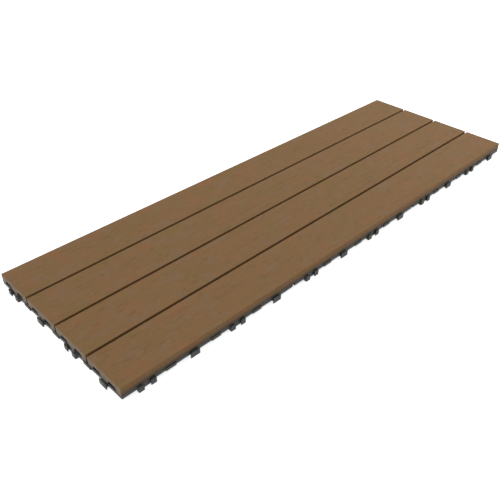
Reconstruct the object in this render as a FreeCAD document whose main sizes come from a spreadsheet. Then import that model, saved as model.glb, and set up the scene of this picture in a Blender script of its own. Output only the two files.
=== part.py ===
import FreeCAD, Part
import os
import Sketcher

# Interlocking deck tile: boards screwed from below to a row of moulded clip-together bases.
# X runs along the boards, Y across them and Z up. The origin is the middle of the footprint,
# on the plane that the feet stand on. All sizes are in millimetres.

doc = FreeCAD.newDocument("deck_tile")

# Driving dimensions
drivingSizes = [
    ("modules_along", 3, "base modules in one tile"),
    ("boards_across", 4, "boards in one tile, and bays in one module"),
    ("module_pitch", 300.0, "laying pitch of one base module"),
    ("joint_gap", 4.0, "gap between boards, between modules and between tiles"),
    ("board_thickness", 13.0, "board, from the soles of its legs to its top"),
    ("board_edge_radius", 0.8, "rounding of the long top edges"),
    ("leg_width", 13.0, "middle leg, between the two grooves"),
    ("groove_mouth", 20.0, "groove, across its mouth"),
    ("groove_roof", 13.0, "groove, across its roof"),
    ("groove_depth", 6.0, "groove, mouth to roof"),
    ("plate_thickness", 2.8, "flat lattice of a base"),
    ("foot_height", 6.2, "ground to the underside of the lattice"),
    ("bar_width", 14.0, "main bars of the lattice"),
    ("rim_wall", 2.0, "wall that hangs below the edge of the lattice"),
    ("rim_drop", 2.3, "how far that wall hangs"),
    ("rib_width", 2.4, "thin ribs across the openings"),
    ("rib_drop", 3.2, "how far a rib hangs below the lattice"),
    ("foot_width", 13.6, "hollow square foot, outside"),
    ("foot_wall", 2.0, "wall of a foot"),
    ("spacer_width", 16.0, "pads on the rim, between the clips"),
    ("spacer_play", 0.6, "face of a pad to the middle of the gap"),
    ("clip_clearance", 0.3, "play between a tongue and its socket"),
    ("tongue_width", 14.6, "head of a tongue"),
    ("tongue_head", 1.5, "thickness of that head"),
    ("neck_width", 9.4, "neck of a tongue"),
    ("arm_width", 5.6, "arms of a socket"),
    ("lip_thickness", 1.2, "lips of a socket"),
    ("screw_shank", 3.5, "screw, over its thread"),
    ("screw_length", 12.0, "screw, head to tip"),
    ("screw_head", 7.2, "its head, across"),
    ("screw_head_height", 2.4, "its head, high"),
    ("hole_clearance", 0.25, "round a screw in the lattice"),
    ("pilot_clearance", 0.05, "round a screw in a board"),
]

sheet = doc.addObject("Spreadsheet::Sheet", "sizes")
for row, (alias, value, note) in enumerate(drivingSizes, start=1):
    sheet.set(f"A{row}", note)
    sheet.set(f"B{row}", str(value))
    sheet.setAlias(f"B{row}", alias)
doc.recompute()

modulesAlong = int(sheet.modules_along)
boardsAcross = int(sheet.boards_across)

# Sizes that follow from the driving ones, as formulas on the sheet
bayPitch = "(sizes.module_pitch / sizes.boards_across)"
moduleHalf = "((sizes.module_pitch - sizes.joint_gap) / 2)"
boardWidth = f"({bayPitch} - sizes.joint_gap)"
boardLength = "(sizes.modules_along * sizes.module_pitch - sizes.joint_gap)"
plateTop = "(sizes.foot_height + sizes.plate_thickness)"
screwRow = f"({bayPitch} * floor(sizes.boards_across / 2) - sizes.module_pitch / 2)"
firstModule = "((1 - sizes.modules_along) * sizes.module_pitch / 2)"
firstBoard = f"({bayPitch} / 2 - sizes.module_pitch / 2)"


def originOf(body, role):
    return next(f for f in body.Origin.OriginFeatures if f.Role == role)


def valueOf(formula):
    return float(sheet.evalExpression(formula))


def addBody(label):
    body = doc.addObject("PartDesign::Body", label)
    body.Label = label
    return body


def placeBody(body, x, y, z):
    for axis, formula in zip("xyz", (x, y, z)):
        body.setExpression(f"Placement.Base.{axis}", formula)


def addSketch(body, name, plane="XY_Plane", height="0"):
    sketch = body.newObject("Sketcher::SketchObject", name)
    sketch.AttachmentSupport = [(originOf(body, plane), "")]
    sketch.MapMode = "FlatFace"
    sketch.setExpression("AttachmentOffset.Base.z", height)
    return sketch


def bindPoint(sketch, element, end, x, y):
    for kind, formula in (("DistanceX", x), ("DistanceY", y)):
        index = sketch.addConstraint(Sketcher.Constraint(kind, element, end, valueOf(formula)))
        sketch.setExpression(f"Constraints[{index}]", formula)


def addOutline(sketch, corners):
    # A closed outline, each corner held by a pair of formulas
    first = sketch.GeometryCount
    spots = [FreeCAD.Vector(valueOf(x), valueOf(y), 0) for x, y in corners]
    for start, end in zip(spots, spots[1:] + spots[:1]):
        sketch.addGeometry(Part.LineSegment(start, end), False)
    for i, (x, y) in enumerate(corners):
        following = first + (i + 1) % len(corners)
        sketch.addConstraint(Sketcher.Constraint("Coincident", first + i, 2, following, 1))
        bindPoint(sketch, first + i, 1, x, y)


def addRectangle(sketch, x0, y0, x1, y1):
    addOutline(sketch, [(x0, y0), (x1, y0), (x1, y1), (x0, y1)])


def addCircle(sketch, x, y, diameter):
    centre = FreeCAD.Vector(valueOf(x), valueOf(y), 0)
    radius = valueOf(diameter) / 2
    circle = sketch.addGeometry(Part.Circle(centre, FreeCAD.Vector(0, 0, 1), radius), False)
    bindPoint(sketch, circle, 3, x, y)
    index = sketch.addConstraint(Sketcher.Constraint("Diameter", circle, 2 * radius))
    sketch.setExpression(f"Constraints[{index}]", diameter)


def pad(body, name, sketch, length, symmetric=False):
    feature = body.newObject("PartDesign::Pad", name)
    feature.Profile = sketch
    feature.SideType = "Symmetric" if symmetric else "One side"
    feature.setExpression("Length", length)
    return feature


def pocket(body, name, sketch, depth, upwards=False):
    feature = body.newObject("PartDesign::Pocket", name)
    feature.Profile = sketch
    feature.Reversed = upwards
    feature.setExpression("Length", depth)
    return feature


def repeat(body, name, features, along, across=None):
    # Copies along X and, where given, along Y: each is a pair (copies, spacing)
    pattern = body.newObject("PartDesign::LinearPattern", name)
    pattern.Originals = features
    pattern.Direction = (originOf(body, "X_Axis"), [""])
    pattern.Mode = "Spacing"
    pattern.setExpression("Occurrences", along[0])
    pattern.setExpression("Offset", along[1])
    if across:
        pattern.Direction2 = (originOf(body, "Y_Axis"), [""])
        pattern.Mode2 = "Extent"
        pattern.setExpression("Occurrences2", across[0])
        pattern.setExpression("Length2", f"({across[0]} - 1) * {across[1]}")
    body.Tip = pattern
    return pattern


def quarterTurns(body, name, features):
    pattern = body.newObject("PartDesign::PolarPattern", name)
    pattern.Originals = features
    pattern.Axis = (originOf(body, "Z_Axis"), [""])
    pattern.Angle = 360
    pattern.Occurrences = 4
    body.Tip = pattern
    return pattern


def edgesWhere(shape, wanted):
    return [f"Edge{i}" for i, edge in enumerate(shape.Edges, start=1) if wanted(edge)]


# A flat plate with a low wall under its edge
def addPlate(body):
    outline = addSketch(body, "plate_outline", height="sizes.foot_height")
    addRectangle(outline, f"-{moduleHalf}", f"-{moduleHalf}", moduleHalf, moduleHalf)
    pad(body, "plate", outline, "sizes.plate_thickness")
    inside = f"({moduleHalf} - sizes.rim_wall)"
    rim = addSketch(body, "rim_outline", height="sizes.foot_height - sizes.rim_drop")
    addRectangle(rim, f"-{moduleHalf}", f"-{moduleHalf}", moduleHalf, moduleHalf)
    addRectangle(rim, f"-{inside}", f"-{inside}", inside, inside)
    pad(body, "rim", rim, "sizes.rim_drop")


# The plate becomes a lattice: one square opening in every bay
def addOpenings(body):
    near = "(sizes.bar_width / 2 - sizes.module_pitch / 2)"
    far = f"({bayPitch} - sizes.module_pitch / 2 - sizes.bar_width / 2)"
    opening = addSketch(body, "opening_outline", height=plateTop)
    addRectangle(opening, near, near, far, far)
    cut = pocket(body, "opening", opening, "sizes.plate_thickness")
    bays = ("sizes.boards_across", bayPitch)
    repeat(body, "openings", [cut], bays, bays)


# Thin ribs that run across the boards, under the middle of every bay
def addRibs(body):
    middle = firstBoard
    reach = f"({moduleHalf} - sizes.rim_wall)"
    outline = addSketch(body, "rib_outline", height="sizes.foot_height - sizes.rib_drop")
    addRectangle(outline, f"{middle} - sizes.rib_width / 2", f"-{reach}",
                 f"{middle} + sizes.rib_width / 2", reach)
    rib = pad(body, "rib", outline, "sizes.rib_drop + sizes.plate_thickness")
    repeat(body, "ribs", [rib], ("sizes.boards_across", bayPitch))


# Hollow square feet under the crossings of the main bars
def addFeet(body):
    start = f"({bayPitch} - sizes.module_pitch / 2)"
    outline = addSketch(body, "foot_outline")
    for half in ("sizes.foot_width / 2", "(sizes.foot_width / 2 - sizes.foot_wall)"):
        addRectangle(outline, f"{start} - {half}", f"{start} - {half}", f"{start} + {half}", f"{start} + {half}")
    foot = pad(body, "foot", outline, "sizes.foot_height")
    rows = ("sizes.boards_across - 1", bayPitch)
    repeat(body, "feet", [foot], rows, rows)


# One side of a base seen from outside carries, from its left, socket, tongue, socket, tongue,
# so that every socket meets a tongue of the next base whichever side is laid against it.
# Between them low pads keep the rims of two neighbours apart.
def addSide(body):
    cavityHalf = "(sizes.tongue_width / 2 + sizes.clip_clearance)"
    mouthHalf = "(sizes.neck_width / 2 + sizes.clip_clearance)"
    socketHalf = f"({cavityHalf} + sizes.arm_width)"
    lipStart = f"({moduleHalf} + sizes.joint_gap / 2 + sizes.clip_clearance)"
    headStart = f"({moduleHalf} + sizes.joint_gap / 2)"
    rimBack = f"({moduleHalf} - sizes.rim_wall)"
    spacerFace = f"({moduleHalf} + sizes.joint_gap / 2 - sizes.spacer_play)"

    sockets = addSketch(body, "socket_outline")
    tongues = addSketch(body, "tongue_outline")
    backs = addSketch(body, "socket_back_outline")
    spacers = addSketch(body, "spacer_outline", height="sizes.foot_height - sizes.rim_drop")

    for place in range(boardsAcross):
        middle = f"({bayPitch} * {place + 0.5} - sizes.module_pitch / 2)"
        if place % 2 == 0:
            for side in ("-", "+"):
                addOutline(sockets, [
                    (f"{middle} {side} {socketHalf}", f"-{rimBack}"),
                    (f"{middle} {side} {socketHalf}", f"-({lipStart} + sizes.lip_thickness)"),
                    (f"{middle} {side} {mouthHalf}", f"-({lipStart} + sizes.lip_thickness)"),
                    (f"{middle} {side} {mouthHalf}", f"-{lipStart}"),
                    (f"{middle} {side} {cavityHalf}", f"-{lipStart}"),
                    (f"{middle} {side} {cavityHalf}", f"-{rimBack}"),
                ])
            addRectangle(backs, f"{middle} - {cavityHalf}", f"-{moduleHalf}",
                         f"{middle} + {cavityHalf}", f"-{rimBack}")
        else:
            addOutline(tongues, [
                (f"{middle} - sizes.neck_width / 2", f"-{rimBack}"),
                (f"{middle} - sizes.neck_width / 2", f"-{headStart}"),
                (f"{middle} - sizes.tongue_width / 2", f"-{headStart}"),
                (f"{middle} - sizes.tongue_width / 2", f"-({headStart} + sizes.tongue_head)"),
                (f"{middle} + sizes.tongue_width / 2", f"-({headStart} + sizes.tongue_head)"),
                (f"{middle} + sizes.tongue_width / 2", f"-{headStart}"),
                (f"{middle} + sizes.neck_width / 2", f"-{headStart}"),
                (f"{middle} + sizes.neck_width / 2", f"-{rimBack}"),
            ])
    for bar in range(1, boardsAcross):
        middle = f"({bayPitch} * {bar} - sizes.module_pitch / 2)"
        addRectangle(spacers, f"{middle} - sizes.spacer_width / 2", f"-{spacerFace}",
                     f"{middle} + sizes.spacer_width / 2", f"-{rimBack}")

    quarterTurns(body, "four_sides", [
        pad(body, "sockets", sockets, plateTop),
        pad(body, "tongues", tongues, plateTop),
        pad(body, "socket_backs", backs, "sizes.foot_height"),
        pad(body, "spacers", spacers, "sizes.rim_drop + sizes.plate_thickness"),
    ])


def addScrewHoles(body):
    outline = addSketch(body, "screw_hole_outline", height=plateTop)
    addCircle(outline, screwRow, firstBoard,
              "sizes.screw_shank + 2 * sizes.hole_clearance")
    hole = pocket(body, "screw_hole", outline, "sizes.plate_thickness")
    repeat(body, "screw_holes", [hole], ("1", "0"), ("sizes.boards_across", bayPitch))


def makeBase(label):
    body = addBody(label)
    addPlate(body)
    addSide(body)
    addFeet(body)
    addOpenings(body)
    addRibs(body)
    addScrewHoles(body)
    return body


# A board: solid composite with two tapered grooves along its underside
def makeBoard(label):
    body = addBody(label)
    grooveMiddle = "(sizes.leg_width / 2 + sizes.groove_mouth / 2)"
    profile = addSketch(body, "section", "YZ_Plane")
    groove = [
        (f"{grooveMiddle} + sizes.groove_mouth / 2", "0"),
        (f"{grooveMiddle} + sizes.groove_roof / 2", "sizes.groove_depth"),
        (f"{grooveMiddle} - sizes.groove_roof / 2", "sizes.groove_depth"),
        (f"{grooveMiddle} - sizes.groove_mouth / 2", "0"),
    ]
    mirrored = [(f"-({x})", z) for x, z in reversed(groove)]
    addOutline(profile, [
        (f"-{boardWidth} / 2", "0"),
        (f"-{boardWidth} / 2", "sizes.board_thickness"),
        (f"{boardWidth} / 2", "sizes.board_thickness"),
        (f"{boardWidth} / 2", "0"),
    ] + groove + mirrored)
    pad(body, "plank", profile, boardLength, symmetric=True)

    pilots = addSketch(body, "pilot_outline")
    addCircle(pilots, f"{firstModule} + {screwRow}", "0",
              "sizes.screw_shank + 2 * sizes.pilot_clearance")
    depth = "sizes.screw_length - sizes.plate_thickness + sizes.hole_clearance"
    pilot = pocket(body, "pilot", pilots, depth, upwards=True)
    drilled = repeat(body, "pilots", [pilot], ("sizes.modules_along", "sizes.module_pitch"))
    doc.recompute()

    top = valueOf("sizes.board_thickness")
    halfLength = valueOf(boardLength) / 2
    rounding = body.newObject("PartDesign::Fillet", "long_edges")
    rounding.Base = (drilled, edgesWhere(drilled.Shape, lambda edge: (
        abs(edge.BoundBox.ZMin - top) < 1e-6 and edge.BoundBox.XLength > halfLength)))
    rounding.setExpression("Radius", "sizes.board_edge_radius")
    return body


# The screws: heads against the underside of the lattice, shanks up into the middle legs
def makeScrews(label):
    body = addBody(label)
    profile = addSketch(body, "half_section", "XZ_Plane")
    addOutline(profile, [
        ("0", "-sizes.screw_head_height"),
        ("sizes.screw_head / 2", "-sizes.screw_head_height"),
        ("sizes.screw_head / 2", "0"),
        ("sizes.screw_shank / 2", "0"),
        ("sizes.screw_shank / 2", "sizes.screw_length"),
        ("0", "sizes.screw_length"),
    ])
    screw = body.newObject("PartDesign::Revolution", "screw")
    screw.Profile = profile
    screw.ReferenceAxis = (profile, ["V_Axis"])
    screw.Angle = 360
    repeat(body, "all_screws", [screw], ("sizes.modules_along", "sizes.module_pitch"),
           ("sizes.boards_across", bayPitch))
    placeBody(body, f"{firstModule} + {screwRow}", firstBoard, "sizes.foot_height")
    return body


# A further moulding or board from the same tool as the first
def copyOf(original, label):
    body = addBody(label)
    copied = doc.addObject("PartDesign::FeatureBase", f"{label}_copy")
    copied.BaseFeature = original
    body.Group = [copied]
    body.Tip = copied
    return body


bases = [makeBase("base_1")]
bases += [copyOf(bases[0], f"base_{place + 1}") for place in range(1, modulesAlong)]
boards = [makeBoard("board_1")]
boards += [copyOf(boards[0], f"board_{place + 1}") for place in range(1, boardsAcross)]
pieces = bases + boards + [makeScrews("screws")]
doc.recompute()

for place, base in enumerate(bases):
    placeBody(base, f"{firstModule} + {place} * sizes.module_pitch", "0", "0")
for place, board in enumerate(boards):
    placeBody(board, "0", f"{firstBoard} + {place} * {bayPitch}", plateTop)
doc.recompute()

for item in doc.Objects:
    if "Invalid" in item.State or "Error" in item.State:
        raise RuntimeError(f"{item.Label} did not build: {item.State}")
for piece in pieces:
    if piece.Shape.isNull() or not piece.Shape.isValid():
        raise RuntimeError(f"{piece.Label} has no valid shape")

os.makedirs("parts", exist_ok=True)
for piece in pieces:
    piece.Shape.exportStep(f"parts/{piece.Label}.step")
    print(piece.Label, len(piece.Shape.Solids), "solids", round(piece.Shape.Volume), "mm3",
          piece.Shape.BoundBox)
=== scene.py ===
import math
import bmesh
import bpy
import numpy as np
from mathutils import Euler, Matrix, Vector


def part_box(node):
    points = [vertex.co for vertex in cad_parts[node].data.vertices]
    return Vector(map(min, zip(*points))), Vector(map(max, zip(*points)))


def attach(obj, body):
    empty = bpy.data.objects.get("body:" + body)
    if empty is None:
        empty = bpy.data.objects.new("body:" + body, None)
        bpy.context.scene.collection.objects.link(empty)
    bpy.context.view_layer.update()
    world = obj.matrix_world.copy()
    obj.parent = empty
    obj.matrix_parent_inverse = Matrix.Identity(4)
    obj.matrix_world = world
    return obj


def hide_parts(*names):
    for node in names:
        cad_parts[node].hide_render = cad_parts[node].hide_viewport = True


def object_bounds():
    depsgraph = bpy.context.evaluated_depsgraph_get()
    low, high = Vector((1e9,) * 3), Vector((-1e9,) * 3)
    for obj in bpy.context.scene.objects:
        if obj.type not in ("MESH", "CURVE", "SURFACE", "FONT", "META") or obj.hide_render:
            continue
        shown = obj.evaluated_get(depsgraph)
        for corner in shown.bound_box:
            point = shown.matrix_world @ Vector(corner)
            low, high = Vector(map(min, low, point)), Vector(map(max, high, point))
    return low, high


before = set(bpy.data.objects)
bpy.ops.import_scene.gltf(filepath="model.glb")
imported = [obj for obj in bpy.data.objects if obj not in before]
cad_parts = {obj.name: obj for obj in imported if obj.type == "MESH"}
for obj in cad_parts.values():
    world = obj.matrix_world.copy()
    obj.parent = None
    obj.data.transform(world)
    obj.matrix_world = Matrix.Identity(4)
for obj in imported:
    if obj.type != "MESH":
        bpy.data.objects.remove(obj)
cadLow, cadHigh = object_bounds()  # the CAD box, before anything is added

mm = 0.001
bases = [name for name in sorted(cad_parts) if name.startswith("base_")]
boards = [name for name in sorted(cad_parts) if name.startswith("board_")]


# Shader helpers: an expression on wrapped sockets adds its own Math nodes
class Wire:
    def __init__(self, shade, socket):
        self.shade = shade
        self.socket = socket

    def maths(self, operation, first, second):
        return self.shade.node("ShaderNodeMath", {"operation": operation}, {0: first, 1: second})

    def __add__(self, other):
        return self.maths("ADD", self, other)

    def __radd__(self, other):
        return self.maths("ADD", other, self)

    def __sub__(self, other):
        return self.maths("SUBTRACT", self, other)

    def __rsub__(self, other):
        return self.maths("SUBTRACT", other, self)

    def __mul__(self, other):
        return self.maths("MULTIPLY", self, other)

    def __rmul__(self, other):
        return self.maths("MULTIPLY", other, self)


class Shade:
    # The nodes of one owner, a material or the world, that end in its surface shader
    def __init__(self, owner, surface="Principled BSDF"):
        owner.use_nodes = True
        self.owner = owner
        self.tree = owner.node_tree
        self.surface = self.tree.nodes[surface]

    # One way to make any node: its type, its settings first, then values or links for its sockets
    def node(self, kind, settings=None, sockets=None, output=0):
        made = self.tree.nodes.new(kind)
        for name, value in (settings or {}).items():
            setattr(made, name, value)
        for key, value in (sockets or {}).items():
            self.join(made.inputs[key], value)
        return Wire(self, made.outputs[output])

    def join(self, socket, value):
        if isinstance(value, Wire):
            self.tree.links.new(value.socket, socket)
        elif socket.type == "RGBA" and len(value) == 3:
            socket.default_value = (*value, 1.0)
        else:
            socket.default_value = value

    def feed(self, **inputs):
        for name, value in inputs.items():
            self.join(self.surface.inputs[name.replace("_", " ")], value)

    def place(self, stretch=(1.0, 1.0, 1.0)):
        # Object coordinates in metres, stretched per axis
        coords = self.node("ShaderNodeTexCoord", output="Object")
        return self.node("ShaderNodeVectorMath", {"operation": "MULTIPLY"}, {0: coords, 1: stretch})

    def along(self, axis):
        # Object coordinate along one axis, in metres
        return self.node("ShaderNodeSeparateXYZ", {}, {0: self.place()}, output=axis)

    def noise(self, stretch, detail, rough, bend=0.0):
        return self.node("ShaderNodeTexNoise", {}, {
            "Vector": self.place(stretch), "Scale": 1.0, "Detail": detail,
            "Roughness": rough, "Distortion": bend}, output="Fac")

    def noises(self, look):
        return {name: self.noise(*row) for name, row in look["noises"].items()}

    def step(self, value, low, high):
        # Eased 0 to 1 as the value goes from low to high
        return self.node("ShaderNodeMapRange", {"interpolation_type": "SMOOTHSTEP"}, {
            "Value": value, "From Min": low, "From Max": high, "To Min": 0.0, "To Max": 1.0})

    def blend(self, share, first, second):
        return self.node("ShaderNodeMix", {"data_type": "RGBA"}, {0: share, 6: first, 7: second}, output=2)

    def marked(self, look, noises):
        # The ground colour with each mark laid over it in turn, by its noise's step times its share
        colour = look["ground"]
        for name, low, high, share, mark in look["marks"]:
            colour = self.blend(self.step(noises[name], low, high) * share, colour, look[mark])
        return colour

    def bump(self, height, distance):
        return self.node("ShaderNodeBump", {}, {"Strength": 1.0, "Distance": distance, "Height": height})


# Mesh helpers
def ease(t):
    # 3 t^2 - 2 t^3, which leaves 0 and meets 1 level
    return t * t * (3 - 2 * t)


def softNoise(u, v, cells, seed):
    # Random numbers from 0 to 1 on a lattice of the given cells, blended between its points by eased weights
    size = 512
    lattice = np.random.default_rng(seed).random((size, size))
    p, q = u / cells[0], v / cells[1]
    i, j = np.floor(p).astype(int), np.floor(q).astype(int)
    a, b = ease(p - i), ease(q - j)
    i, nextI = i % size, (i + 1) % size
    j, nextJ = j % size, (j + 1) % size
    near = lattice[i, j] * (1 - a) + lattice[nextI, j] * a
    far = lattice[i, nextJ] * (1 - a) + lattice[nextI, nextJ] * a
    return near * (1 - b) + far * b


def roundedLoop(corners, radii, steps, runs):
    # Closed outline: each corner becomes a curve that leaves and meets its edges one radius away,
    # (1-u)^2 start + 2u(1-u) corner + u^2 end, and each edge after it gets evenly spaced points
    corners, radii = np.array(corners, float), np.array(radii, float)[:, None]
    ahead = np.roll(corners, -1, 0) - corners
    ahead /= np.linalg.norm(ahead, axis=1)[:, None]
    start, end = corners - np.roll(ahead, 1, 0) * radii, corners + ahead * radii
    u = np.linspace(0, 1, steps)[:, None, None]
    arcs = (1 - u) ** 2 * start + 2 * u * (1 - u) * corners + u ** 2 * end
    following = np.roll(start, -1, 0)
    pieces = []
    for i, count in enumerate(runs):
        pieces.append(arcs[:, i])
        pieces.append(np.linspace(end[i], following[i], count + 2)[1:-1])
    return np.concatenate(pieces)


def tubeFaces(rows, columns):
    # Quads between neighbouring rows and columns of a grid of points, which closes from its last column
    # to its first
    i = np.arange(rows - 1)[:, None]
    j = np.arange(columns)[None, :]
    nextI, nextJ = i + 1, (j + 1) % columns
    quads = [i * columns + j, nextI * columns + j, nextI * columns + nextJ, i * columns + nextJ]
    return np.stack(quads, -1).reshape(-1, 4)


def surfaceMesh(name, points, faces, materials):
    # Smooth mesh from grids of points and faces that number them
    mesh = bpy.data.meshes.new(name)
    mesh.from_pydata(points.reshape(-1, 3).tolist(), [], [list(map(int, face)) for face in faces])
    mesh.polygons.foreach_set("use_smooth", np.ones(len(mesh.polygons), bool))
    for material in materials:
        mesh.materials.append(material)
    return mesh


def addObject(name, data):
    made = bpy.data.objects.new(name, data)
    bpy.context.scene.collection.objects.link(made)
    return made


def addPiece(name, mesh, node):
    # The mesh as a piece of the tile, in place of its CAD node
    piece = addObject(name, mesh)
    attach(piece, "root")
    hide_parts(node)
    return piece


# Looks: each noise has its stretch along x, y and z in cycles per metre, detail, roughness and bend,
# and each mark its noise, the values where it starts and is full, its share and its colour
boardLook = {
    "ground": (0.238, 0.133, 0.058),
    "reddish": (0.262, 0.130, 0.059),
    "olive": (0.219, 0.134, 0.053),
    "ashen": (0.232, 0.140, 0.070),
    "fleck": (0.118, 0.068, 0.030),
    "pale": (0.300, 0.198, 0.120),
    # Painted shade: the dark colour the long sides blend to towards their foot, and the heights over which
    # it fades out
    "side": (0.078, 0.062, 0.046),
    "sideShadeFrom": 9.0 * mm,
    "sideShadeTo": 18.5 * mm,
    "noises": {
        "patches": ((24.0, 42.0, 42.0), 2.0, 0.6, 0.3),
        "drift": ((19.0, 33.0, 33.0), 2.0, 0.6, 0.6),
        "clouds": ((31.0, 52.0, 52.0), 2.0, 0.6, 0.4),
        "bands": ((5.0, 190.0, 190.0), 2.0, 0.5),
        "streaks": ((30.0, 900.0, 900.0), 3.0, 0.6),
        "smudges": ((60.0, 150.0, 150.0), 2.0, 0.6, 0.4),
        "speckle": ((900.0, 1700.0, 1700.0), 2.0, 0.6),
        "fibres": ((260.0, 1300.0, 1300.0), 2.0, 0.7),
        "chips": ((170.0, 620.0, 620.0), 1.0, 0.5),
        "pores": ((2600.0, 2600.0, 2600.0), 2.0, 0.6),
    },
    "marks": [
        ("patches", 0.50, 0.68, 1.0, "reddish"),
        ("drift", 0.48, 0.66, 1.0, "olive"),
        ("clouds", 0.50, 0.64, 1.0, "ashen"),
        ("bands", 0.50, 0.74, 0.14, "fleck"),
        ("streaks", 0.50, 0.80, 0.16, "fleck"),
        ("smudges", 0.56, 0.72, 0.28, "fleck"),
        ("speckle", 0.48, 0.70, 0.22, "fleck"),
        ("fibres", 0.62, 0.72, 0.55, "fleck"),
        ("chips", 0.70, 0.78, 0.60, "pale"),
    ],
    "roughness": 0.72,
    "streakRoughness": 0.25,
    "sideSmoothness": 0.12,
    "gloss": 0.14,
    "streakRelief": 0.6,
    "poreRelief": 0.4,
    "relief": 0.10 * mm,
}


def brushedComposite():
    # Streaks change the roughness and pores the relief; towards its foot a side goes smoother and takes a
    # painted shade
    look, shade = boardLook, Shade(bpy.data.materials.new("brushedComposite"))
    noises = shade.noises(look)
    # Painted shade on the long sides: 1 at their foot, eased to 0 higher up, blends in the dark side colour
    # and also lowers the roughness
    paintedShadeAndSmoothing = 1 - shade.step(shade.along("Z"), look["sideShadeFrom"], look["sideShadeTo"])
    roughness = look["roughness"] + (noises["streaks"] - 0.5) * look["streakRoughness"]
    relief = noises["streaks"] * look["streakRelief"] + noises["pores"] * look["poreRelief"]
    shade.feed(Base_Color=shade.blend(paintedShadeAndSmoothing, shade.marked(look, noises), look["side"]),
               Roughness=roughness - paintedShadeAndSmoothing * look["sideSmoothness"],
               Specular_IOR_Level=look["gloss"], Normal=shade.bump(relief, look["relief"]))
    return shade.owner


endLook = {
    "ground": (0.191, 0.141, 0.096),
    "fibre": (0.242, 0.185, 0.132),
    "char": (0.122, 0.085, 0.055),
    "noises": {
        "chips": ((900.0, 700.0, 1100.0), 3.0, 0.65),
        "blotches": ((60.0, 70.0, 90.0), 2.0, 0.5),
        "sawLines": ((40.0, 1400.0, 60.0), 1.0, 0.5),
    },
    "marks": [
        ("chips", 0.55, 0.72, 1.0, "fibre"),
        ("blotches", 0.50, 0.75, 0.5, "char"),
    ],
    "roughness": 0.82,
    "chipSmoothness": 0.2,
    "chipRelief": 0.6,
    "sawRelief": 0.6,
    "relief": 0.16 * mm,
}


def sawnComposite():
    # Chips of fibre and scorched blotches, cut across by upright saw lines
    look, shade = endLook, Shade(bpy.data.materials.new("sawnComposite"))
    noises = shade.noises(look)
    relief = noises["chips"] * look["chipRelief"] + noises["sawLines"] * look["sawRelief"]
    shade.feed(Base_Color=shade.marked(look, noises),
               Roughness=look["roughness"] - (noises["chips"] - 0.5) * look["chipSmoothness"],
               Normal=shade.bump(relief, look["relief"]))
    return shade.owner


undersideSkinAndShadeLook = {
    # Partly painted shade: this ground is darker than the skin alone, and stands in for the shade in the
    # grooves and under the soles
    "ground": (0.056, 0.040, 0.028),
    "worn": (0.078, 0.056, 0.040),
    "noises": {
        "dieLines": ((4.0, 1500.0, 1500.0), 2.0, 0.5),
        "wear": ((26.0, 70.0, 70.0), 3.0, 0.55),
    },
    "marks": [("wear", 0.45, 0.75, 1.0, "worn")],
    "roughness": 0.58,
    "lineRoughness": 0.2,
    "relief": 0.06 * mm,
}


def extrudedCompositeAndShade():
    # The underside keeps the smooth skin and the long die lines of the extruder; its dark ground is partly
    # the skin's own colour and partly painted shade for the grooves and soles
    look, shade = undersideSkinAndShadeLook, Shade(bpy.data.materials.new("extrudedCompositeAndShade"))
    noises = shade.noises(look)
    shade.feed(Base_Color=shade.marked(look, noises),
               Roughness=look["roughness"] + (noises["dieLines"] - 0.5) * look["lineRoughness"],
               Normal=shade.bump(noises["dieLines"], look["relief"]))
    return shade.owner


plasticLook = {
    "ground": (0.023, 0.025, 0.022),
    "dusty": (0.037, 0.040, 0.035),
    "noises": {
        "dust": ((150.0, 150.0, 220.0), 4.0, 0.65),
        "flow": ((24.0, 24.0, 60.0), 3.0, 0.5, 0.8),
        "grain": ((2200.0, 2200.0, 2200.0), 2.0, 0.6),
    },
    "marks": [
        ("dust", 0.48, 0.78, 0.7, "dusty"),
        ("flow", 0.55, 0.80, 0.3, "dusty"),
    ],
    "roughness": 0.55,
    "dustRoughness": 0.3,
    "grainRelief": 0.7,
    "flowRelief": 0.3,
    "relief": 0.06 * mm,
}


def mouldedPlastic():
    # Black plastic with a fine mould grain, faint flow marks and dust that dulls it in places
    look, shade = plasticLook, Shade(bpy.data.materials.new("mouldedPlastic"))
    noises = shade.noises(look)
    relief = noises["grain"] * look["grainRelief"] + noises["flow"] * look["flowRelief"]
    shade.feed(Base_Color=shade.marked(look, noises),
               Roughness=look["roughness"] + (noises["dust"] - 0.5) * look["dustRoughness"],
               Normal=shade.bump(relief, look["relief"]))
    return shade.owner


steelLook = {
    "ground": (0.50, 0.50, 0.48),
    "yellowed": (0.47, 0.43, 0.34),
    "noises": {
        "tone": ((420.0, 420.0, 420.0), 3.0, 0.6),
        "scratches": ((3000.0, 500.0, 3000.0), 2.0, 0.6),
    },
    "marks": [("tone", 0.45, 0.75, 1.0, "yellowed")],
    "roughness": 0.38,
    "toneRoughness": 0.3,
    "relief": 0.02 * mm,
}


def platedSteel():
    # Plating that yellows and dulls in the same places, under fine scratches
    look, shade = steelLook, Shade(bpy.data.materials.new("platedSteel"))
    noises = shade.noises(look)
    shade.feed(Base_Color=shade.marked(look, noises), Metallic=1.0,
               Roughness=look["roughness"] + (noises["tone"] - 0.5) * look["toneRoughness"],
               Normal=shade.bump(noises["scratches"], look["relief"]))
    return shade.owner


boardFinishes = [brushedComposite(), sawnComposite(), extrudedCompositeAndShade()]
brushed, sawn, extruded = range(3)
plastic, steel = mouldedPlastic(), platedSteel()
print("materials made")


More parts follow.
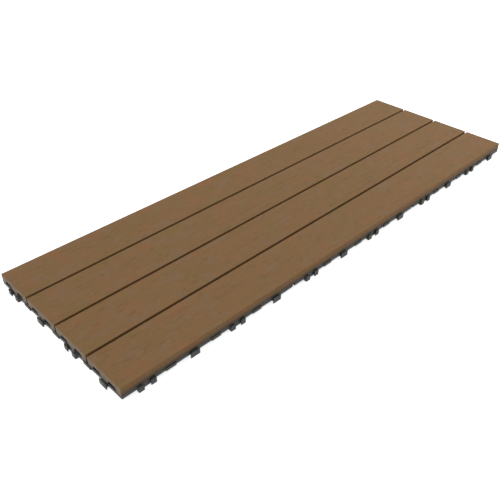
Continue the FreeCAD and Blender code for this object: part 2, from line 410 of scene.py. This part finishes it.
# Boards: a grooved extrusion with brushed top and sawn ends
boardShape = {
    "edgeRadius": 0.8 * mm,
    "legWidth": 13.0 * mm,
    "grooveMouth": 20.0 * mm,
    "grooveRoof": 13.0 * mm,
    "grooveDepth": 6.0 * mm,
    "soleRadius": 0.5 * mm,
    "roofRadius": 1.0 * mm,
    "sawArris": 0.35 * mm,
    "skinAbove": 0.1 * mm,  # the extruder's skin ends this far above the groove roof
    "skinInset": 0.2 * mm,  # and this far in from the sides
    "cornerPoints": 5,
    "points": {"side": 6, "top": 128, "outerSole": 1, "flank": 3, "roof": 4, "middleSole": 4},
    "stations": 232,
    "brushDepth": 0.12 * mm,
    "brushInset": 0.5 * mm,
    "brushFade": 1.5 * mm,
    "brushLines": [  # share, length and width of a line, seed
        (0.55, (34 * mm, 1.1 * mm), 11),
        (0.30, (60 * mm, 2.6 * mm), 12),
        (0.15, (12 * mm, 1.3 * mm), 13),
    ],
}


def boardSection(width, thickness):
    # Outline across the board, anticlockwise seen from the left end, with a rounded arris at every corner
    s, p = boardShape, boardShape["points"]
    half, middle = width / 2, s["legWidth"] / 2 + s["grooveMouth"] / 2
    wide, narrow, deep = s["grooveMouth"] / 2, s["grooveRoof"] / 2, s["grooveDepth"]
    corners = [(-half, 0), (-half, thickness), (half, thickness), (half, 0),
               (middle + wide, 0), (middle + narrow, deep), (middle - narrow, deep), (middle - wide, 0),
               (wide - middle, 0), (narrow - middle, deep), (-narrow - middle, deep), (-wide - middle, 0)]
    sole, roof, edge = s["soleRadius"], s["roofRadius"], s["edgeRadius"]
    radii = [sole, edge, edge, sole, sole, roof, roof, sole, sole, roof, roof, sole]
    runs = [p["side"], p["top"], p["side"], p["outerSole"], p["flank"], p["roof"],
            p["flank"], p["middleSole"], p["flank"], p["roof"], p["flank"], p["outerSole"]]
    return roundedLoop(corners, radii, s["cornerPoints"], runs)


def makeBoard(node):
    # The section carried along x: point = station, section - inset * outward, where the inset takes
    # the arris off both ends, and the top sinks by the brush depth times the sum of its lines
    s = boardShape
    low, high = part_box(node)
    width, thickness = high.y - low.y, high.z - low.z
    outline = boardSection(width, thickness)
    ahead = np.roll(outline, -1, 0) - np.roll(outline, 1, 0)
    outward = np.stack([-ahead[:, 1], ahead[:, 0]], 1) / np.linalg.norm(ahead, axis=1)[:, None]
    arris = s["sawArris"]
    between = np.linspace(low.x + arris, high.x - arris, s["stations"])
    stations = np.concatenate([[low.x], between, [high.x]])
    inset = np.zeros(len(stations))
    inset[[0, -1]] = arris
    x = stations[:, None] + 0 * outline[None, :, 0]
    section = outline[None] - inset[:, None, None] * outward[None]
    y, z = section[..., 0] + (low.y + high.y) / 2, section[..., 1] + low.z
    # The brush lines only cut into the top, and fade out before the edges and the ends
    fromEdge = width / 2 - np.abs(outline[:, 0])
    inward = np.clip((fromEdge - s["brushInset"]) / s["brushFade"], 0, 1)
    onTop = np.isclose(outline[:, 1], thickness) * inward
    lines = sum(share * softNoise(x, y, cells, seed) for share, cells, seed in s["brushLines"])
    z = z - s["brushDepth"] * lines * onTop[None] * (inset[:, None] == 0)
    # Faces: the skin, then both ends as one face each
    rows, columns = x.shape
    skin = tubeFaces(rows, columns)
    leftEnd = np.arange(columns)
    rightEnd = np.arange(rows * columns - 1, (rows - 1) * columns - 1, -1)
    name = node.replace("board_", "compositeBoard")
    mesh = surfaceMesh(name, np.stack([x, y, z], -1), [*skin, leftEnd, rightEnd], boardFinishes)
    # Finishes: sawn on the ends and their arrises, extruded with its painted shade in the grooves and on the
    # soles, else brushed
    middles = (outline + np.roll(outline, -1, 0)) / 2
    below = middles[:, 1] < s["grooveDepth"] + s["skinAbove"]
    below &= np.abs(middles[:, 0]) < width / 2 - s["skinInset"]
    finish = np.tile(np.where(below, extruded, brushed), rows - 1)
    finish[:columns] = sawn
    finish[-columns:] = sawn
    finish = np.concatenate([finish, [sawn, sawn]]).astype(np.int32)
    mesh.polygons.foreach_set("material_index", finish)
    mesh.polygons.foreach_set("use_smooth", np.arange(len(finish)) < len(skin))
    mesh.update()
    return addPiece(name, mesh, node)


for node in boards:
    makeBoard(node)
print("boards made", len(boards))


# Bases: the moulding with its edges softened as a mould leaves them
baseShape = {
    "weld": 0.001 * mm,
    "flatWithin": 0.5,  # degrees between faces that become one
    "softenFrom": 30.0,  # degrees between faces whose edge is softened
    "softening": 0.3 * mm,
    "softeningSteps": 2,
}


def makeBase(node):
    # The CAD node's own mesh, its doubles merged and flat faces joined, under a bevel of its sharp edges
    s = baseShape
    bm = bmesh.new()
    bm.from_mesh(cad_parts[node].data)
    bmesh.ops.remove_doubles(bm, verts=bm.verts, dist=s["weld"])
    bmesh.ops.dissolve_limit(bm, angle_limit=math.radians(s["flatWithin"]), verts=bm.verts, edges=bm.edges)
    mesh = bpy.data.meshes.new(node)
    bm.to_mesh(mesh)
    bm.free()
    mesh.materials.append(plastic)
    mesh.polygons.foreach_set("use_smooth", np.ones(len(mesh.polygons), bool))
    piece = addPiece(node.replace("base_", "latticeBase"), mesh, node)
    soft = piece.modifiers.new("softEdges", "BEVEL")
    soft.width = s["softening"]
    soft.segments = s["softeningSteps"]
    soft.limit_method = "ANGLE"
    soft.angle_limit = math.radians(s["softenFrom"])
    soft.harden_normals = True
    return piece


for node in bases:
    makeBase(node)
print("bases made", len(bases))


# Screws: pan head with a cross recess, threaded shank and a drill point
screwShape = {
    "pointsRound": 48,
    "headRows": 22,
    "headRadius": 3.6 * mm,
    "headHeight": 2.4 * mm,
    "crownShare": 0.8,  # of the head's rows, the others go down its rim
    "crownPower": 3.2,
    "rimHeight": 0.38,  # of the head's height
    "recessReach": 2.05 * mm,
    "recessWidth": 0.95 * mm,
    "recessDepth": 1.5 * mm,
    "recessSlope": 0.25 * mm,
    "recessEndSlope": 0.9 * mm,
    "shankRows": 92,
    "threadRadius": 1.75 * mm,
    "coreRadius": 1.25 * mm,
    "threadPitch": 1.35 * mm,
    "ridgeShare": 0.5,  # of the pitch
    "threadFrom": 0.4 * mm,
    "threadRunIn": 0.8 * mm,
    "tip": 2.5 * mm,
    "tipPower": 0.8,
    "weld": 0.0001 * mm,
}


def crossArm(p, q):
    # 1 within an arm of the cross, down to 0 over its slopes: p is the distance across it, q along it
    s = screwShape
    across = np.clip((s["recessWidth"] / 2 - np.abs(p)) / s["recessSlope"] + 0.5, 0, 1)
    return across * np.clip((s["recessReach"] - np.abs(q)) / s["recessEndSlope"], 0, 1)


def screwHead(seat, turn):
    # Rows from the middle of the crown out to the rim and up it: the height falls with a power of the
    # radius, and the cross is pressed into the crown
    s = screwShape
    t = np.linspace(0, 1, s["headRows"])
    onCrown = t < s["crownShare"]
    share = np.where(onCrown, t / s["crownShare"], 1.0)
    crown = (1 - share ** s["crownPower"]) * (1 - s["rimHeight"]) + s["rimHeight"]
    rim = (1 - t) / (1 - s["crownShare"]) * s["rimHeight"]
    radius = s["headRadius"] * share[:, None]
    x, y = radius * np.cos(turn), radius * np.sin(turn)
    cross = np.maximum(crossArm(x, y), crossArm(y, x)) * s["recessDepth"]
    z = seat - s["headHeight"] * np.where(onCrown, crown, rim)[:, None] + cross
    return np.stack([x, y, z], -1)


def screwShank(seat, length, turn):
    # Rows up the shank: radius = (core + ridge) * taper, where the ridge climbs one pitch a turn and
    # the taper narrows the last stretch to a point
    s = screwShape
    rise = np.linspace(0, 1, s["shankRows"])[:, None] * length
    wave = (rise / s["threadPitch"] - turn / (2 * np.pi)) % 1.0
    ridge = np.clip(1 - np.abs(wave - 0.5) / (s["ridgeShare"] / 2), 0, 1)
    runIn = np.clip((rise - s["threadFrom"]) / s["threadRunIn"], 0, 1)
    taper = np.clip((length - rise) / s["tip"], 0, 1) ** s["tipPower"]
    radius = (s["coreRadius"] + (s["threadRadius"] - s["coreRadius"]) * ridge * runIn) * taper
    return np.stack([radius * np.cos(turn), radius * np.sin(turn), seat + rise + 0 * turn], -1)


def makeScrews():
    # One screw, head and shank as a single run of rows, copied to the middle of each board in each base
    s = screwShape
    low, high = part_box("screws")
    seat = low.z + s["headHeight"]
    turn = np.linspace(0, 2 * np.pi, s["pointsRound"] + 1)[:-1]
    one = np.concatenate([screwHead(seat, turn), screwShank(seat, high.z - seat, turn)])
    xs = sorted((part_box(n)[0].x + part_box(n)[1].x) / 2 for n in bases)
    ys = [(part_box(n)[0].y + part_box(n)[1].y) / 2 for n in boards]
    spots = np.array([(x, y, 0) for x in xs for y in ys])
    points = one[None] + spots[:, None, None, :]
    rows, columns = one.shape[:2]
    firstPoints = np.arange(len(spots))[:, None, None] * rows * columns
    faces = (tubeFaces(rows, columns)[None] + firstPoints).reshape(-1, 4)
    mesh = surfaceMesh("panScrews", points, faces, [steel])
    bm = bmesh.new()
    bm.from_mesh(mesh)
    bmesh.ops.remove_doubles(bm, verts=bm.verts, dist=s["weld"])
    bmesh.ops.recalc_face_normals(bm, faces=bm.faces)
    bm.to_mesh(mesh)
    bm.free()
    return addPiece("panScrews", mesh, "screws")


makeScrews()
print("screws made")


# Floor, light and camera
stageLook = {
    "floor": (0.93, 0.93, 0.93),
    "floorRoughness": 0.9,
    "floorReach": 12.0,
    "floorGlow": 0.72,
    "litInset": 8.0 * mm,
    "darkInset": 14.0 * mm,
    "world": 0.50,
    "key": 1.15,
    "keyTurn": (-24.0, -30.0, 0.0),
    "keySpread": 35.0,
    "fill": 8.5,
    "fillPlace": (1.6, 0.0, 1.2),
    "fillSize": 1.0,
}


def seenShare(shade):
    # 1 for rays that see the surface straight, mirrored or through glass, 0 for those that only light
    camera, glossy, through = [shade.node("ShaderNodeLightPath", output=f"Is {ray} Ray")
                               for ray in ("Camera", "Glossy", "Transmission")]
    return camera + glossy + through


def underTile(shade):
    # 1 where x and y both lie well inside the tile's footprint, eased to 0 before its edges
    share = 1
    for axis, half in (("X", cadHigh.x), ("Y", cadHigh.y)):
        across = shade.along(axis)
        darkTo, litFrom = half - stageLook["darkInset"], half - stageLook["litInset"]
        share = share * (1 - shade.step(across * across, darkTo ** 2, litFrom ** 2))
    return share


def makeFloor():
    # A flat square that glows white where it is seen, but not in the dark under the tile
    shade = Shade(bpy.data.materials.new("paleFloor"))
    glow = shade.blend(seenShare(shade) * (1 - underTile(shade)), (0.0, 0.0, 0.0), (1.0, 1.0, 1.0))
    shade.feed(Base_Color=stageLook["floor"], Roughness=stageLook["floorRoughness"], Emission_Color=glow,
               Emission_Strength=stageLook["floorGlow"])
    reach = stageLook["floorReach"]
    corners = [(-reach, -reach, 0), (reach, -reach, 0), (reach, reach, 0), (-reach, reach, 0)]
    mesh = bpy.data.meshes.new("floor")
    mesh.from_pydata(corners, [], [(0, 1, 2, 3)])
    mesh.materials.append(shade.owner)
    addObject("floor", mesh)


def makeRoom():
    # White where it is seen, and softer where it only lights the tile
    shade = Shade(bpy.data.worlds.new("softRoom"), "Background")
    shade.feed(Color=(1.0, 1.0, 1.0), Strength=shade.node("ShaderNodeMapRange", {}, {
        "Value": seenShare(shade), "To Min": stageLook["world"], "To Max": 1.0}))
    bpy.context.scene.world = shade.owner


def turned(degrees):
    # Angles about x, y and z as a rotation
    return Euler([math.radians(angle) for angle in degrees])


makeFloor()
makeRoom()

lamp = bpy.data.lights.new("key", "SUN")
lamp.energy = stageLook["key"]
lamp.angle = math.radians(stageLook["keySpread"])
addObject("key", lamp).rotation_euler = turned(stageLook["keyTurn"])

panel = bpy.data.lights.new("fill", "AREA")
panel.energy = stageLook["fill"]
panel.size = stageLook["fillSize"]
fill = addObject("fill", panel)
fill.location = stageLook["fillPlace"]
fill.rotation_euler = Vector(stageLook["fillPlace"]).to_track_quat("Z", "Y").to_euler()
fill.visible_camera = False

view = {
    "place": (-673.6 * mm, -592.4 * mm, 579.0 * mm),
    "turn": (53.274, -0.212, -44.227),
    "lens": 44.42,
    "sensor": 36.0,
    "near": 0.01,
    "far": 50.0,
}
cameraData = bpy.data.cameras.new("camera")
cameraData.lens = view["lens"]
cameraData.sensor_width = view["sensor"]
cameraData.clip_start = view["near"]
cameraData.clip_end = view["far"]
camera = addObject("camera", cameraData)
camera.location = view["place"]
camera.rotation_euler = turned(view["turn"])
bpy.context.scene.camera = camera

bpy.context.scene.view_settings.view_transform = "Standard"
print("stage made")
